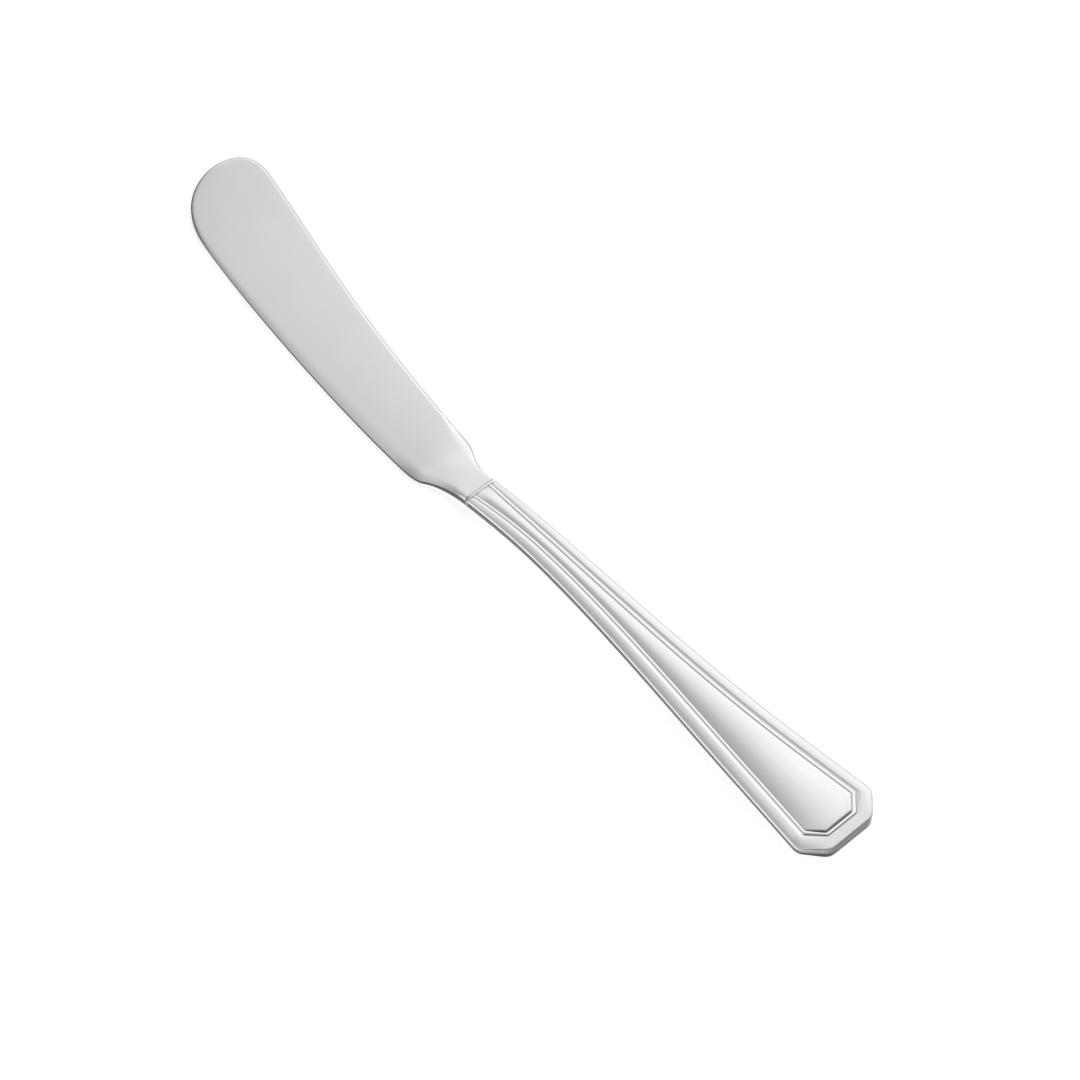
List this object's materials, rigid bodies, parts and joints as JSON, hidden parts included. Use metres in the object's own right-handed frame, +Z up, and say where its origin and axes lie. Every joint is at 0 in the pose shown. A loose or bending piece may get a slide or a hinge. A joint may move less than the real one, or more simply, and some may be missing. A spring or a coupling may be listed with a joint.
{
  "type": "butter knife",
  "caption": "Hollow-handle butter knife: a broad round-tipped blade with a notched heel, a beaded neck and a flared handle with a moulded border round a long cut-corner panel.",
  "frame": {"origin": "under the middle of the knife's bounding box, on the table the knife lies on", "axes": "+X from the blade's tip to the handle's butt, -Y towards the cutting edge, +Y towards the spine, +Z up from the table through the knife's thickness"},
  "size_m": [0.1742, 0.0264, 0.0049],
  "materials": {
    "satin_steel": "satin",
    "polished_steel": "polished",
    "braze": "polished",
    "cement": "matte"
  },
  "bodies": {
    "root": {"blade": "satin_steel", "neck_collar": "polished_steel", "handle_front_shell": "polished_steel", "handle_back_shell": "polished_steel", "seam_braze": "braze", "handle_filler": "cement"}
  },
  "joints": []
}
